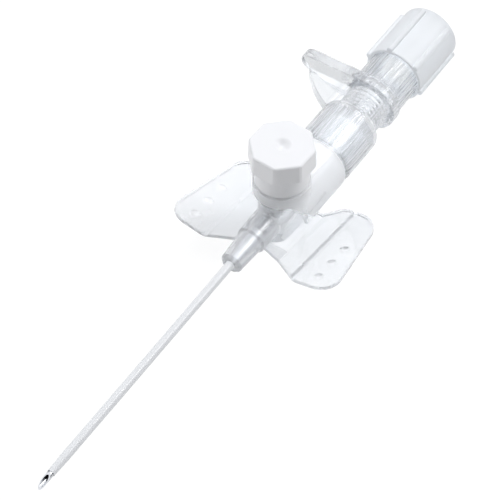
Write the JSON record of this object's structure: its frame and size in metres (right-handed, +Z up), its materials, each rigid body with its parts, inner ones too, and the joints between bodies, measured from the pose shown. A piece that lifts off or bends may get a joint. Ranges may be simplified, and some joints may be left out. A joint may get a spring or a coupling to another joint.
{
  "type": "intravenous cannula",
  "caption": "Intravenous cannula: a soft catheter over a bevelled needle, a winged hub with a capped injection port, and a needle hub with a thumb plate, flash chamber and ribbed luer cap.",
  "frame": {"origin": "centre of the catheter where it leaves the front face of the hub's nose", "axes": "+X back along the catheter's axis from the needle's tip to the luer cap, +Z up along the injection port, +Y to the side the thumb plate reaches out on"},
  "size_m": [0.1054, 0.029, 0.0198],
  "materials": {
    "catheter_polymer": "smooth translucent fluoropolymer",
    "ferrule_steel": "drawn stainless steel",
    "needle_steel": "polished stainless steel",
    "hub_clear": "clear, frosted at the nose",
    "valve_silicone": "smooth silicone",
    "collar_white": "fine satin",
    "cap_white": "fine satin",
    "needle_hub_clear": "polished clear",
    "plug_natural": "smooth translucent",
    "filter_felt": "porous white disc",
    "luer_cap_natural": "smooth translucent"
  },
  "bodies": {
    "cannula": {"catheter_tube": "catheter_polymer", "catheter_ferrule": "ferrule_steel", "catheter_hub": "hub_clear", "port_valve": "valve_silicone", "port_collar": "collar_white"},
    "port_cap": {"port_cap": "cap_white"},
    "needle": {"needle_tube": "needle_steel", "needle_hub": "needle_hub_clear", "vent_plug": "plug_natural", "vent_filter": "filter_felt"},
    "luer_cap": {"luer_cap": "luer_cap_natural"}
  },
  "joints": [
    {"name": "port_cap_pull", "type": "slide", "parent": "cannula", "child": "port_cap", "axis": [0, 0, 1], "range_m": [0, 0.012]},
    {"name": "needle_draw", "type": "slide", "parent": "cannula", "child": "needle", "axis": [1, 0, 0], "range_m": [0, 0.085]},
    {"name": "luer_cap_pull", "type": "slide", "parent": "needle", "child": "luer_cap", "axis": [1, 0, 0], "range_m": [0, 0.014]}
  ]
}
